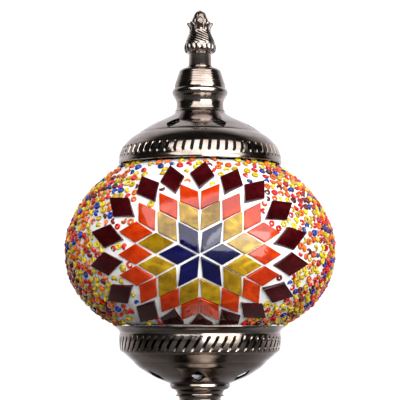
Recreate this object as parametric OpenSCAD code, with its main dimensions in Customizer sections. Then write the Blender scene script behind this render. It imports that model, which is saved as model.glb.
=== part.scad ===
// Mosaic glass table lamp. A blown glass globe, covered with glass tiles and seed beads
// in grout, stands in a pierced metal cup on a turned stem and a weighted base.
// A pierced cap with a finial lifts off its top to reach the bulb.
// +Z is up, the origin is at the centre of the underside, and the front faces -Y.

/* [Globe] */
// Diameter of the globe over its beads
globe_d = 165; // [150:1:190]
// Height of the globe's upper curve above its widest ring
globe_rise = 65.5; // [62:0.5:72]
// Depth of the globe's lower curve below its widest ring
globe_drop = 56.5; // [53:0.5:62]
// Wall of the blown glass
glass_wall = 2.5; // [1.5:0.1:3.5]
// Thickness of the grout bed on the glass
grout_bed = 1.2; // [0.8:0.1:2]
// Thickness of the layer of seed beads on the grout bed
bead_layer = 2.8; // [2:0.1:3.5]
// Diameter of the cut collar at the top of the glass
top_collar_d = 82; // [70:1:84]
// Diameter of the cut collar at the foot of the glass
foot_collar_d = 85.6; // [76:1:87]

/* [Mosaic] */
// Long diagonal of a star tile
tile_long = 21.5; // [16:0.5:21.5]
// Short diagonal of a star tile
tile_short = 11.8; // [9:0.5:12.2]
// Long diagonal of a border tile
border_long = 25.4; // [18:0.1:26.4]
// Short diagonal of a border tile
border_short = 14; // [11:0.2:14.6]
// Thickness of a tile
tile_t = 2.4; // [1.5:0.1:3]
// Step from one ring of the star to the next
ring_step = 11.8; // [11.4:0.1:13]
// Distance from the star's centre to the middle of the border tiles between its rays
border_ring = 54.4; // [53.8:0.2:57]
// How much further out the border tiles in the deep notches lie
border_step = 1.2; // [0:0.1:3]
// Height of the star's centre above the globe's widest ring
star_lift = -6.3; // [-10:0.5:4]

/* [Cap] */
// Diameter of the cap over its rim
cap_d = 99.4; // [96:0.2:110]
// Height of the cap, from its rim to the neck piece
cap_h = 32.6; // [28:0.2:40]
// Height of the cap's rim above the globe's widest ring
cap_sit = 52; // [51:0.5:58]
// Number of pierced stars in the cap
cap_stars = 7; // [5:1:9]
// Wall of all the spun sheet metal
sheet = 1; // [0.8:0.1:1.4]

/* [Neck and finial] */
// Height of the neck piece
neck_h = 28; // [24:1:36]
// Diameter of the neck piece at its ridge
neck_d = 33.8; // [30:0.2:40]
// Height of the finial
finial_h = 35; // [30:1:45]
// Diameter of the finial's ball
finial_d = 19.8; // [17:0.2:24]
// Diameter of the stud that holds the cap together
stud_d = 6; // [5:0.5:8]

/* [Cup] */
// Diameter of the cup over its lip
cup_d = 104; // [100:0.5:112]
// Height of the cup
cup_h = 34.6; // [32:0.2:42]
// Height of the globe's widest ring above the cup's lip
globe_sit = 45.8; // [45:0.2:52]
// Number of pierced stars in the cup
cup_stars = 6; // [5:1:8]

/* [Stem] */
// Height of the collar under the cup
collar_h = 13; // [10:0.5:20]
// Diameter of the collar where it meets the cup
collar_d = 37; // [34:0.5:44]
// Height of each turned ring of the stem
ring_h = 6.5; // [5:0.5:10]
// Diameter of the turned rings
ring_d = 32; // [28:0.5:40]
// Height of the baluster
baluster_h = 56; // [40:1:90]
// Diameter of the baluster at its belly
baluster_d = 43; // [36:0.5:54]

/* [Base] */
// Diameter of the base
base_d = 124; // [110:1:150]
// Height of the base shell
base_h = 58; // [50:1:72]
// Number of pierced stars in the base
base_stars = 8; // [6:1:10]
// Thickness of the felt under the base
felt_t = 1.4; // [1:0.1:3]
// Diameter of the cast iron weight
weight_d = 96; // [80:1:100]
// Thickness of the cast iron weight
weight_t = 11; // [8:0.5:14]
// Bore of the bush that the flex leaves through
flex_bore_d = 6.4; // [5:0.1:7]

/* [Lamp fitting] */
// Diameter of the threaded pipe through the stem
pipe_d = 10; // [8:0.5:12]
// Bore of the pipe
pipe_bore = 7; // [5:0.5:7.5]
// Diameter of the lampholder
holder_d = 28; // [24:1:32]
// Height of the lampholder
holder_h = 44; // [40:1:52]
// Diameter of the bulb's glass
bulb_d = 45; // [35:1:50]
// Diameter of the bulb's screw cap over its thread
screw_d = 13.9; // [13:0.1:14.2]

/* [Hidden] */
$fn = 96;

// Clearances
rest_gap = 0.1;       // between pieces that only rest on each other and lift apart
slip = 0.08;          // radial, of a shaft in a hole
hole_slack = 0.25;    // radial, of a rod through a sheet
rim_gap = 0.6;        // between the mosaic and the metal lips
hair = 0.05;          // between a tile and its bed

// Heights, stacked from the table up
base_z = 0.4;                                  // the shell's rim, just clear of the table
lower_ring_z = base_z + base_h;
baluster_z = lower_ring_z + ring_h;
upper_ring_z = baluster_z + baluster_h;
collar_z = upper_ring_z + ring_h;
cup_z = collar_z + collar_h;
lip_z = cup_z + cup_h;
globe_z = lip_z + globe_sit;
rim_z = globe_z + cap_sit;
neck_z = rim_z + cap_h;
finial_z = neck_z + neck_h;

// The globe's outline is a superellipse, a little flatter above its widest ring
upper_power = 1.9;
lower_power = 2.2;
mosaic_t = grout_bed + bead_layer;
glass_in = mosaic_t + glass_wall;
top_seat_h = 11.6;      // the glass's cut edge, above the cap's rim
foot_seat_h = 18.5;     // the gasket under the glass, above the cup's foot
gasket_t = 1.8;

nut_t = 3.2;
washer_t = 1;
plate_t = 1.2;
dish_r = pipe_d * 0.9 + 3;        // room for the lower washer and nut
dish_h = 5;
star_len = 14;
star_w = 9;
tau = 360;

// ---------------------------------------------------------------- curves

function blend_point(a, b, c, d, t) =
    0.5 * ((2 * b) + (c - a) * t + (2 * a - 5 * b + 4 * c - d) * t * t
    + (3 * b - a - 3 * c + d) * t * t * t);

// A smooth curve through a few points, with n steps between each two
function curve(p, n = 5) = let (last = len(p) - 1) [
    for (i = [0 : last - 1], k = [0 : n - 1])
        blend_point(p[max(i - 1, 0)], p[i], p[i + 1], p[min(i + 2, last)], k / n),
    p[last]
];

// The same curve moved sideways by t, to its left as it runs upwards
function beside(p, t) = let (last = len(p) - 1) [
    for (i = [0 : last])
        let (d = p[min(i + 1, last)] - p[max(i - 1, 0)])
        p[i] + t * [-d[1], d[0]] / norm(d)
];

function reversed(p) = [for (i = [len(p) - 1 : -1 : 0]) p[i]];
function stretched(p, kr, kz) = [for (q = p) [q[0] * kr, q[1] * kz]];

// A sheet of spun metal that follows an outline, inside it
module spun(outline) {
    rotate_extrude() polygon(concat(outline, reversed(beside(outline, sheet))));
}

module turned(outline) {
    rotate_extrude() polygon(outline);
}

module disc(r, t, hole = 0) {
    difference() {
        cylinder(r = r, h = t);
        if (hole > 0) translate([0, 0, -1]) cylinder(r = hole, h = t + 2);
    }
}

module hex_nut(hole_d, t) {
    difference() {
        cylinder(r = hole_d * 1.02, h = t, $fn = 6);
        translate([0, 0, -1]) cylinder(d = hole_d, h = t + 2);
    }
}

// ---------------------------------------------------------------- pierced stars

// A four-pointed star with hollow sides, long in the direction that runs up the dome
module star_shape() {
    polygon([
        for (i = [0 : 3], side = [0 : 1])
            let (tip = [[star_len / 2, 0], [0, star_w / 2]][i % 2] * (i < 2 ? 1 : -1),
                 next = [[star_len / 2, 0], [0, star_w / 2]][(i + 1) % 2]
                     * ((i + 1) % 4 < 2 ? 1 : -1))
            side == 0 ? tip : (tip + next) * 0.4
    ]);
}

// Cutters for a ring of stars, at the middle of a stretch of wall from one [r, z] to another
module star_cutters(count, from, to, turn) {
    mid = (from + to) / 2;
    slope = atan2(to[1] - from[1], to[0] - from[0]);
    for (k = [0 : count - 1])
        rotate(turn + k * tau / count)
            translate([mid[0], 0, mid[1]])
                rotate([0, -slope, 0])
                    translate([0, 0, -6])
                        linear_extrude(12) star_shape();
}

// ---------------------------------------------------------------- base

base_curve = let (r = base_d / 2, h = base_h) concat(
    [[r, 0]],
    curve([[r, 14], [r - 0.8, 18], [r - 4, 23]], 3),
    curve([[r - 4.6, 23.5], [r - 9.5, 27], [r - 15.5, 30]], 3),
    curve([[r - 16.6, 30.5], [r - 26, 34.5], [r - 36.5, 40], [17.5, h - 8.5],
           [14.2, h - 3], [14.6, h]], 4),
    [[pipe_d / 2 + hole_slack, h]]
);
weight_z = felt_t + plate_t;
bush_wall = 1.1;
bush_lip = 1.2;
flex_z = weight_z + flex_bore_d / 2 + bush_wall + bush_lip + 0.4;

module felt_pad() {
    color("black") disc(base_d / 2 - 3, felt_t);
}

// A pressed steel disc, dished upwards in the middle to clear the nut
module base_plate() {
    r = base_d / 2 - sheet - rest_gap;
    color("dimgray") difference() {
        union() {
            translate([0, 0, felt_t]) disc(r, plate_t);
            translate([0, 0, felt_t]) disc(dish_r + plate_t, dish_h + plate_t);
        }
        translate([0, 0, felt_t - 1]) cylinder(r = dish_r, h = dish_h + 1);
        cylinder(r = pipe_d / 2 + hole_slack, h = 20);
    }
}

module base_weight() {
    color("darkslategray") difference() {
        translate([0, 0, weight_z]) turned([
            [0, 0], [weight_d / 2, 0], [weight_d / 2, weight_t - 2],
            [weight_d / 2 - 2, weight_t], [0, weight_t]
        ]);
        cylinder(r = dish_r + plate_t + rest_gap, h = felt_t + plate_t + dish_h + rest_gap);
        cylinder(r = pipe_d / 2 + hole_slack, h = 40);
    }
}

module base_shell() {
    r = base_d / 2;
    color("dimgray") difference() {
        translate([0, 0, base_z]) spun(base_curve);
        translate([0, 0, base_z])
            star_cutters(base_stars, [r - 19, 31.5], [r - 31, 37.5], tau / base_stars / 2);
        translate([0, r - 10, flex_z]) rotate([-90, 0, 0])
            cylinder(r = flex_bore_d / 2 + bush_wall + slip, h = 20);
    }
}

// A flanged bush in the back of the foot, where the flex leaves
module cord_bush() {
    wall_r = base_d / 2;
    body_d = flex_bore_d + 2 * bush_wall;
    flange_d = body_d + 2 * bush_lip;
    color("black") difference() {
        translate([0, 0, flex_z]) rotate([-90, 0, 0]) union() {
            translate([0, 0, wall_r - 4.6]) cylinder(d = body_d, h = 5.2);
            translate([0, 0, wall_r + 0.1]) cylinder(d = flange_d, h = 2);
            translate([0, 0, wall_r - 4.6]) cylinder(d = flange_d, h = 2.4);
        }
        translate([0, wall_r - 10, flex_z]) rotate([-90, 0, 0])
            cylinder(d = flex_bore_d, h = 20);
    }
}

// ---------------------------------------------------------------- pipe and its nuts

pipe_foot = felt_t + 0.6;
holder_z = cup_z + sheet + washer_t + nut_t + 0.4;
pipe_top = holder_z + 7;
lower_stack_z = felt_t + dish_h;

// Threaded pipe, with a window near its foot where the flex goes in
module lamp_pipe() {
    color("silver") difference() {
        translate([0, 0, pipe_foot]) disc(pipe_d / 2, pipe_top - pipe_foot, pipe_bore / 2);
        translate([0, 0, weight_z + weight_t + 6]) rotate([-90, 0, 0])
            cylinder(r = 2.6, h = 20);
    }
}

module lower_washer() {
    color("silver") translate([0, 0, lower_stack_z - washer_t])
        disc(pipe_d * 0.9, washer_t, pipe_d / 2 + slip);
}

module lower_nut() {
    color("silver") translate([0, 0, lower_stack_z - washer_t - nut_t])
        hex_nut(pipe_d, nut_t);
}

module cup_washer() {
    color("silver") translate([0, 0, cup_z + sheet])
        disc(pipe_d * 0.9, washer_t, pipe_d / 2 + slip);
}

module cup_nut() {
    color("silver") translate([0, 0, cup_z + sheet + washer_t]) hex_nut(pipe_d, nut_t);
}

// ---------------------------------------------------------------- stem

stem_bore = pipe_d / 2 + hole_slack;

module stem_ring(z) {
    r = ring_d / 2;
    h = ring_h;
    color("dimgray") translate([0, 0, z]) turned(concat(
        [[stem_bore, 0], [r - 3.2, 0], [r - 2.6, 0.9]],
        [for (a = [-70 : 14 : 70]) [r - 2.6 + 2.6 * cos(a), h / 2 + (h / 2 - 0.9) * sin(a)]],
        [[r - 2.6, h - 0.9], [r - 3.2, h], [stem_bore, h]]
    ));
}

// Hollow vase, closed round the pipe at both ends
baluster_curve = let (r = baluster_d / 2, h = baluster_h) concat(
    [[12, 0], [12.4, 1.6]],
    curve([[10.6, 2.2], [10.2, 5.5], [14.5, h * 0.24], [r, h * 0.46], [r - 3.2, h * 0.66],
           [11.6, h * 0.86], [9.6, h - 4.5], [10.4, h - 2.2]], 4),
    [[12.2, h - 1.6], [12, h]]
);

module stem_baluster() {
    wall = 2;
    belly = beside(baluster_curve, wall);
    color("dimgray") translate([0, 0, baluster_z]) difference() {
        turned(concat([[0, 0]], baluster_curve, [[0, baluster_h]]));
        turned(concat([[0, 5.5]],
            [for (p = belly) if (p[1] > 5.5 && p[1] < baluster_h - 5.5) p],
            [[0, baluster_h - 5.5]]));
        translate([0, 0, -1]) cylinder(r = stem_bore, h = baluster_h + 2);
    }
}

// Flared collar that carries the cup
module cup_collar() {
    r = collar_d / 2;
    h = collar_h;
    color("dimgray") translate([0, 0, collar_z]) turned(concat(
        [[stem_bore, 0], [13.6, 0]],
        curve([[14.2, 1.2], [13.1, 3.6], [14.2, 6.6], [r - 2, h - 4.2]], 4),
        curve([[r - 1.5, h - 3.6], [r - 0.9, h - 2], [r - 0.6, h - 0.6]], 3),
        [[r, h], [stem_bore, h]]
    ));
}

// ---------------------------------------------------------------- cup

cup_curve = let (r = cup_d / 2, h = cup_h) concat(
    [[stem_bore, 0]],
    curve([[collar_d / 2 + 0.2, 0], [r - 27.8, 2.2], [r - 22.7, 4.6], [r - 15.2, 9.4],
           [r - 12.8, 12]], 4),
    curve([[r - 11.8, 12.6], [r - 8.4, 15.6], [r - 4.7, 20.3], [r - 3, 26.6],
           [r - 3.2, h - 4.6], [r - 1.8, h - 2.4]], 4),
    [[r, h - 0.8], [r, h]]
);

module cup_shell() {
    r = cup_d / 2;
    color("dimgray") translate([0, 0, cup_z]) difference() {
        spun(cup_curve);
        star_cutters(cup_stars, [r - 28.7, 1.9], [r - 16.9, 8.2], -90 - 2);
    }
}

gasket_r = foot_collar_d / 2;
foot_z = cup_z + foot_seat_h;

// Rubber ring that the glass stands on, with a lip down onto the cup's slope
module globe_gasket() {
    color("black") translate([0, 0, foot_z - rest_gap]) turned([
        [gasket_r - 4.6, -gasket_t], [gasket_r - 1.2, -gasket_t], [gasket_r, -0.8],
        [gasket_r, 0], [gasket_r - 4.6, 0]
    ]);
}

// ---------------------------------------------------------------- lampholder

holder_wall = 1.8;
split_h = 15;
insert_h = 7;
thread_shell_t = 0.6;
thread_r = screw_d / 2 + 0.3;
terminal_d = 2.8;
terminal_out = 8;
insert_z = holder_z + split_h - 2;
socket_z = insert_z + insert_h;

module holder_cap() {
    r = holder_d / 2;
    color("black") difference() {
        translate([0, 0, holder_z]) turned([
            [0, 0], [r - 5, 0], [r - 1, 3.4], [r, 6], [r, split_h],
            [r - holder_wall, split_h], [r - holder_wall, 8.4], [0, 8.4]
        ]);
        translate([0, 0, holder_z - 1]) cylinder(r = pipe_d / 2 + slip, h = 20);
    }
}

module holder_skirt() {
    r = holder_d / 2;
    color("black") translate([0, 0, holder_z + split_h]) difference() {
        turned(concat(
            [[r - holder_wall, 0], [r, 0]],
            [for (k = [0 : 3]) each [[r, 4 + k * 5], [r - 0.7, 4.6 + k * 5],
                                     [r - 0.7, 6.4 + k * 5], [r, 7 + k * 5]]],
            [[r, holder_h - split_h - 1], [r - 1, holder_h - split_h],
             [r - holder_wall, holder_h - split_h]]
        ));
    }
}

module holder_insert() {
    r = holder_d / 2 - holder_wall - slip;
    color("white") translate([0, 0, insert_z]) difference() {
        cylinder(r = r, h = insert_h);
        translate([0, 0, -1]) cylinder(r = 2, h = insert_h + 2);
        for (s = [-1, 1])
            translate([s * terminal_out, 0, -1])
                cylinder(r = terminal_d / 2 + slip, h = insert_h - 1.5);
    }
}

module terminal_screws() {
    color("goldenrod") for (s = [-1, 1])
        translate([s * terminal_out, 0, insert_z]) difference() {
            union() {
                translate([0, 0, -1.5]) cylinder(d = terminal_d, h = 5);
                translate([0, 0, -1.9]) cylinder(r = 2.3, h = 1.9);
            }
            translate([-3, -0.35, -2.9]) cube([6, 0.7, 1.8]);
        }
}

module holder_thread_shell() {
    color("goldenrod") translate([0, 0, socket_z])
        difference() {
            disc(thread_r + thread_shell_t, 19, thread_r);
            translate([-1, 0, -1]) cube([2, 20, 4]);
        }
}

contact_t = 0.5;

// Sprung brass tongue under the bulb's tip
module holder_contact() {
    color("goldenrod") translate([0, 0, socket_z]) rotate([90, 0, 0])
        translate([0, 0, -2]) linear_extrude(4) polygon([
            [-5.5, 0], [-2, 0], [2.4, 2.2], [3.4, 2.2], [3.4, 2.2 + contact_t],
            [2.2, 2.2 + contact_t], [-2.2, contact_t], [-5.5, contact_t]
        ]);
}

// ---------------------------------------------------------------- bulb

tip_z = socket_z + 2.2 + contact_t + rest_gap;
tip_h = 1.4;
insulator_h = 2.6;
screw_z = tip_z + tip_h + insulator_h;
screw_h = 18;
bulb_foot = screw_z + screw_h;
bulb_r = bulb_d / 2;
bulb_centre = bulb_foot + bulb_r + 5;
bulb_neck_r = screw_d / 2 - 0.5;
bulb_wall = 0.8;
mount_r = 2;
mount_h = 11;

module bulb_contact() {
    color("silver") translate([0, 0, tip_z]) turned([
        [0, 0], [1.6, 0.2], [2.6, 0.9], [2.6, tip_h], [0, tip_h]
    ]);
}

module bulb_insulator() {
    color("black") translate([0, 0, tip_z + tip_h]) turned([
        [0, 0], [2.6, 0], [bulb_neck_r - 1.2, insulator_h], [0, insulator_h]
    ]);
}

// Screw cap with rolled ridges for its thread
module bulb_screw_cap() {
    r = screw_d / 2;
    pitch = 2.8;
    color("silver") translate([0, 0, screw_z]) difference() {
        turned(concat(
            [[0, 0], [r - 1.6, 0]],
            [for (k = [0 : 4]) each [
                [r - 0.8, 0.5 + k * pitch], [r - 0.2, 1.2 + k * pitch], [r, 1.7 + k * pitch],
                [r - 0.2, 2.2 + k * pitch]]],
            [[r - 0.8, 0.5 + 5 * pitch], [r - 0.5, screw_h - 2], [r - 0.5, screw_h],
             [0, screw_h]]
        ));
        translate([0, 0, 1]) cylinder(r = r - 1.4, h = screw_h);
    }
}

bulb_curve = let (top = bulb_centre - bulb_foot) concat(
    curve([[bulb_neck_r, 0], [bulb_neck_r + 0.6, 2], [bulb_neck_r + 3.5, 5.2]], 3),
    [for (a = [-50 : 10 : 80]) [bulb_r * cos(a), top + bulb_r * sin(a)]],
    [[0, top + bulb_r]]
);

module bulb_glass() {
    inner = beside(bulb_curve, bulb_wall);
    color("white", 0.4) translate([0, 0, bulb_foot]) turned(concat(
        bulb_curve,
        [[0, bulb_centre - bulb_foot + bulb_r - bulb_wall]],
        reversed([for (p = inner) if (p[0] > 0.5 && p[1] > 0.1
            && p[1] < bulb_centre - bulb_foot + bulb_r - bulb_wall) p]),
        [[bulb_neck_r - bulb_wall, 0]]
    ));
}

// Glass stem inside the bulb, flared at its foot
module bulb_mount() {
    flare_r = bulb_neck_r - bulb_wall - hair;
    color("white", 0.6) translate([0, 0, bulb_foot]) turned([
        [0, 0], [flare_r, 0], [flare_r, 0.8], [2.6, 4], [mount_r, 8], [mount_r, mount_h],
        [0, mount_h]
    ]);
}

// Four upright filament sticks between a lower and an upper cross of wires
module bulb_filaments() {
    wire = 0.35;
    stick = 26;
    out = 7;
    color("orange") translate([0, 0, bulb_foot + mount_h]) {
        cylinder(r = wire * 1.5, h = stick + 4 * wire);
        for (k = [0 : 3]) rotate(45 + k * 90) {
            translate([out, 0, 0]) cylinder(r = 0.9, h = stick + 4 * wire);
            for (z = [2 * wire, stick + 2 * wire])
                translate([0, 0, z]) rotate([0, 90, 0]) cylinder(r = wire, h = out);
        }
    }
}

// ---------------------------------------------------------------- globe

// Outline of the globe, pulled in by t, from its foot radius up to its top radius
function outline_r(up, t) = let (
        a = globe_d / 2 - t,
        b = (up > 0 ? globe_rise : globe_drop) - t,
        n = up > 0 ? upper_power : lower_power)
    a * pow(max(0, 1 - pow(abs(up) / b, n)), 1 / n);
function outline_up(r, t, side) = let (
        a = globe_d / 2 - t,
        b = (side > 0 ? globe_rise : globe_drop) - t,
        n = side > 0 ? upper_power : lower_power)
    side * b * pow(1 - pow(r / a, n), 1 / n);

// Heights are even steps of an angle, so that the steps are fine near both ends
function outline(t, low, high, steps = 14) = [
    for (k = [-steps : steps])
        let (limit = k < 0 ? -low : high, up = limit * sin(90 * k / steps))
        [outline_r(up, t), up]
];

mosaic_low = lip_z + rim_gap - globe_z;
mosaic_high = rim_z - rim_gap - globe_z;
foot_r = foot_collar_d / 2;
top_r = top_collar_d / 2;
foot_up = outline_up(foot_r, mosaic_t, -1);
top_up = outline_up(top_r, mosaic_t, 1);
glass_foot = foot_z - globe_z;
glass_top = rim_z + top_seat_h - globe_z;
grout_high = min(mosaic_high, top_up - hair);

module globe_glass() {
    outside = outline(mosaic_t, mosaic_low, grout_high);
    inside = outline(glass_in,
        outline_up(foot_r - glass_wall, glass_in, -1), outline_up(top_r - glass_wall, glass_in, 1));
    color("lightblue", 0.4) translate([0, 0, globe_z]) turned(concat(
        [[foot_r - glass_wall, glass_foot], [foot_r, glass_foot], [foot_r, foot_up]],
        outside,
        [[top_r, top_up], [top_r, glass_top], [top_r - glass_wall, glass_top]],
        reversed(inside)
    ));
}

module mosaic_band(outer_t, inner_t, high) {
    translate([0, 0, globe_z]) turned(concat(
        outline(outer_t, mosaic_low, high),
        reversed(outline(inner_t, mosaic_low, high))
    ));
}

module grout_skin() {
    color("white") mosaic_band(bead_layer, mosaic_t, grout_high);
}

// The beads as one layer on each flank, clear of the two tile stars
module bead_field() {
    window_r = (border_ring + border_step + border_long / 2) * star_wide * 0.91;
    color("gold") difference() {
        mosaic_band(0, bead_layer, grout_high);
        translate([0, 0, globe_z + star_lift]) rotate([90, 0, 0])
            cylinder(r = window_r, h = 2 * globe_d, center = true);
    }
}

// ---------------------------------------------------------------- tiles

star_wide = 1.08;     // the star is laid a little wider than it is tall
star_tall = 0.94;
arc_r = 82;           // distance from the globe's centre that turns a length into an angle

// Turns a place on the flat star into a direction from the globe's centre
function direction(u, v) = let (
        x = u * star_wide, y = v * star_tall,
        far = norm([x, y]),
        ang = far / arc_r * 180 / PI,
        c = far > 0 ? x / far : 0, s = far > 0 ? y / far : 0,
        lat = atan2(star_lift, globe_d / 2),
        flat = [sin(ang) * c, cos(ang), sin(ang) * s])
    [flat[0], -(flat[1] * cos(lat) - flat[2] * sin(lat)), flat[1] * sin(lat) + flat[2] * cos(lat)];

// The point of the grout bed in that direction, and the bed's normal there
function bed_point(d) = let (
        a = globe_d / 2 - bead_layer,
        b = (d[2] > 0 ? globe_rise : globe_drop) - bead_layer,
        n = d[2] > 0 ? upper_power : lower_power)
    d / pow(pow(norm([d[0], d[1]]) / a, n) + pow(abs(d[2]) / b, n), 1 / n);
function bed_normal(p) = let (
        a = globe_d / 2 - bead_layer,
        b = (p[2] > 0 ? globe_rise : globe_drop) - bead_layer,
        n = p[2] > 0 ? upper_power : lower_power,
        r = norm([p[0], p[1]]),
        side = pow(r, n - 2) / pow(a, n),
        up = sign(p[2]) * pow(abs(p[2]), n - 1) / pow(b, n),
        g = [p[0] * side, p[1] * side, up])
    g / norm(g);

// One tile, flat on the bed at [u, v], its long diagonal turned by ang
module tile(u, v, long, short, ang) {
    p = bed_point(direction(u, v));
    n = bed_normal(p);
    q = bed_point(direction(u + 0.5 * cos(ang), v + 0.5 * sin(ang))) - p;
    along = (q - n * (q * n)) / norm(q - n * (q * n));
    across = cross(n, along);
    at = p + n * hair + [0, 0, globe_z];
    multmatrix([
        [along[0], across[0], n[0], at[0]],
        [along[1], across[1], n[1], at[1]],
        [along[2], across[2], n[2], at[2]]
    ])
        linear_extrude(tile_t) polygon([
            [long / 2, 0], [0, short / 2], [-long / 2, 0], [0, -short / 2]
        ]);
}

// One ring of the star: in each of six directions, ring n holds n tiles side by side
module star_ring(n, seed) {
    drift = rands(-0.18, 0.18, 6 * n * 3, seed);
    for (k = [0 : 5], j = [0 : n - 1])
        let (i = 3 * (k * n + j), ang = k * 60,
             out = n * ring_step + drift[i],
             aside = (j - (n - 1) / 2) * ring_step * 2 / sqrt(3) + drift[i + 1] * 0.6)
        tile(out * cos(ang) - aside * sin(ang), out * sin(ang) + aside * cos(ang),
            tile_long, tile_short, ang + drift[i + 2] * 6);
}

// The border: one tile in each notch of the third ring, cut off at the cup's lip and the cap's rim.
// It is laid by eye, so its tiles drift and lean together as they go round.
module border(seed) {
    drift = rands(-1, 1, 54, seed);
    intersection() {
        for (k = [0 : 5], notch = [-1 : 1])
            let (i = 3 * (3 * k + notch + 1), even = 60 * k + 30 + 21 * notch,
                 ang = even - 0.4 + 2 * cos(even) - 1.2 * sin(even) + 1.2 * sin(2 * even),
                 lean = 2.4 + 2.5 * cos(even) - 7.5 * sin(even) + 1.5 * cos(2 * even),
                 out = border_ring + (notch == 0 ? border_step : 0) - cos(even) + 0.7 * sin(even)
                     + drift[i] * 0.15,
                 long = border_long * (1 + 0.04 * cos(2 * even)))
            tile(out * cos(ang), out * sin(ang), long, border_short,
                ang + lean + drift[i + 1]);
        translate([-globe_d, -globe_d, lip_z + rim_gap])
            cube([2 * globe_d, 2 * globe_d, rim_z - lip_z - 2 * rim_gap]);
    }
}

module front_navy_tiles() { color("midnightblue") star_ring(1, 3); }
module front_amber_tiles() { color("darkgoldenrod") star_ring(2, 5); }
module front_orange_tiles() { color("orangered") star_ring(3, 7); }
module front_ruby_tiles() { color("maroon") border(11); }
module back_navy_tiles() { rotate(180) color("midnightblue") star_ring(1, 13); }
module back_amber_tiles() { rotate(180) color("darkgoldenrod") star_ring(2, 17); }
module back_orange_tiles() { rotate(180) color("orangered") star_ring(3, 19); }
module back_ruby_tiles() { rotate(180) color("maroon") border(23); }

// ---------------------------------------------------------------- cap

cap_curve = let (r = cap_d / 2, h = cap_h) concat(
    [[r, 0]],
    curve([[r, 3], [r - 0.6, 5.6], [r - 2.6, 9.4]], 3),
    curve([[r - 3, 9.8], [r - 7, 14.4], [r - 11.6, 18.6]], 3),
    curve([[r - 12.4, 19], [r - 19.6, 24], [r - 28, h - 4.6], [16.8, h - 2], [15.4, h]], 4),
    [[stud_d / 2 + hole_slack, h]]
);

module cap_shell() {
    r = cap_d / 2;
    color("dimgray") translate([0, 0, rim_z]) difference() {
        spun(cap_curve);
        star_cutters(cap_stars, [r - 12.9, 19.4], [r - 23.2, 25.6], -90 - 30);
    }
}

// Soft ring inside the cap, which rests on the cut edge of the glass
module cap_gasket() {
    color("black") translate([0, 0, globe_z + glass_top + rest_gap])
        disc(top_r + 0.4, 1.8, top_r - glass_wall - 0.4);
}

spring_t = 0.8;
hub_z = neck_z - sheet - washer_t - spring_t;

// Three sprung legs that centre the cap in the glass collar
module cap_spring() {
    leg_w = 9;
    reach = sqrt(pow(top_r - glass_wall - 0.5, 2) - pow(leg_w / 2, 2));
    leg_foot = globe_z + glass_top - 10;
    color("silver") difference() {
        union() {
            translate([0, 0, hub_z]) cylinder(r = 11, h = spring_t);
            for (k = [0 : 2]) rotate(30 + k * 120) rotate([90, 0, 0])
                translate([0, 0, -leg_w / 2]) linear_extrude(leg_w) polygon([
                    [9, hub_z], [reach - 9, hub_z - 9], [reach - spring_t, hub_z - 16],
                    [reach - spring_t, leg_foot + 3], [reach - 2.6, leg_foot],
                    [reach - 1.9, leg_foot - 0.4], [reach, leg_foot + 3],
                    [reach, hub_z - 15.6], [reach - 8.6, hub_z - 8.2], [9, hub_z + spring_t]
                ]);
        }
        translate([0, 0, hub_z - 1]) cylinder(r = stud_d / 2 + hole_slack, h = 5);
    }
}

module cap_washer() {
    color("silver") translate([0, 0, hub_z + spring_t])
        disc(stud_d * 1.1, washer_t, stud_d / 2 + slip);
}

module cap_nut() {
    color("silver") translate([0, 0, hub_z - nut_t]) hex_nut(stud_d, nut_t);
}

stud_foot = hub_z - nut_t - 2;
stud_top = finial_z + 15;

module cap_stud() {
    color("silver") translate([0, 0, stud_foot])
        cylinder(r = stud_d / 2, h = stud_top - stud_foot);
}

neck_curve = let (r = neck_d / 2, h = neck_h) concat(
    [[15.2, 0], [15.2, 0.8]],
    curve([[r - 2.4, 1.8], [r - 2.4, 4.4], [r - 1.1, 8.4], [r, 11.6], [r - 1.1, 15.6],
           [r - 2.9, 20], [r - 4.2, 24.4], [r - 6.6, h - 2.6], [r - 8.9, h - 1]], 3),
    [[r - 9.5, h], [stud_d / 2 + hole_slack, h]]
);

module cap_neck() {
    color("dimgray") translate([0, 0, neck_z]) spun(neck_curve);
}

// Cast finial: plain collar, ball, crown of leaf tips and a pointed bud
finial_curve = let (r = finial_d / 2, h = finial_h) concat(
    [[0, 0], [r - 3, 0], [r - 3, 7.8]],
    curve([[r - 2.4, 8.2], [r - 0.5, 10], [r, 12], [r - 0.6, 14.6], [r - 2.2, 18],
           [r - 2.9, 20.6], [r - 3, 22.4]], 3),
    curve([[r - 4, 24], [r - 4.1, 26.4], [r - 5.1, h - 4.9], [r - 6.7, h - 2.4], [0.6, h]], 3),
    [[0, h]]
);

module finial() {
    leaf_r = 1.5;
    color("dimgray") translate([0, 0, finial_z + rest_gap]) difference() {
        union() {
            turned(finial_curve);
            for (k = [0 : 7]) rotate(k * 45)
                translate([finial_d / 2 - 3.3, 0, 24.3]) sphere(r = leaf_r);
        }
        translate([0, 0, -1]) cylinder(r = stud_d / 2 + slip, h = 17);
    }
}

// ---------------------------------------------------------------- nodes

felt_pad();
base_plate();
base_weight();
base_shell();
cord_bush();
lamp_pipe();
lower_washer();
lower_nut();
stem_ring(lower_ring_z);  // stem_lower_ring
stem_baluster();
stem_ring(upper_ring_z);  // stem_upper_ring
cup_collar();
cup_shell();
cup_washer();
cup_nut();
globe_gasket();
holder_cap();
holder_skirt();
holder_insert();
holder_thread_shell();
holder_contact();
terminal_screws();
bulb_glass();
bulb_screw_cap();
bulb_insulator();
bulb_contact();
bulb_mount();
bulb_filaments();
globe_glass();
grout_skin();
bead_field();
front_navy_tiles();
front_amber_tiles();
front_orange_tiles();
front_ruby_tiles();
back_navy_tiles();
back_amber_tiles();
back_orange_tiles();
back_ruby_tiles();
cap_shell();
cap_gasket();
cap_spring();
cap_washer();
cap_nut();
cap_stud();
cap_neck();
finial();
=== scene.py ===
import math
import random

import bmesh
import bpy
import numpy as np
from mathutils import Matrix, Vector


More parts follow.
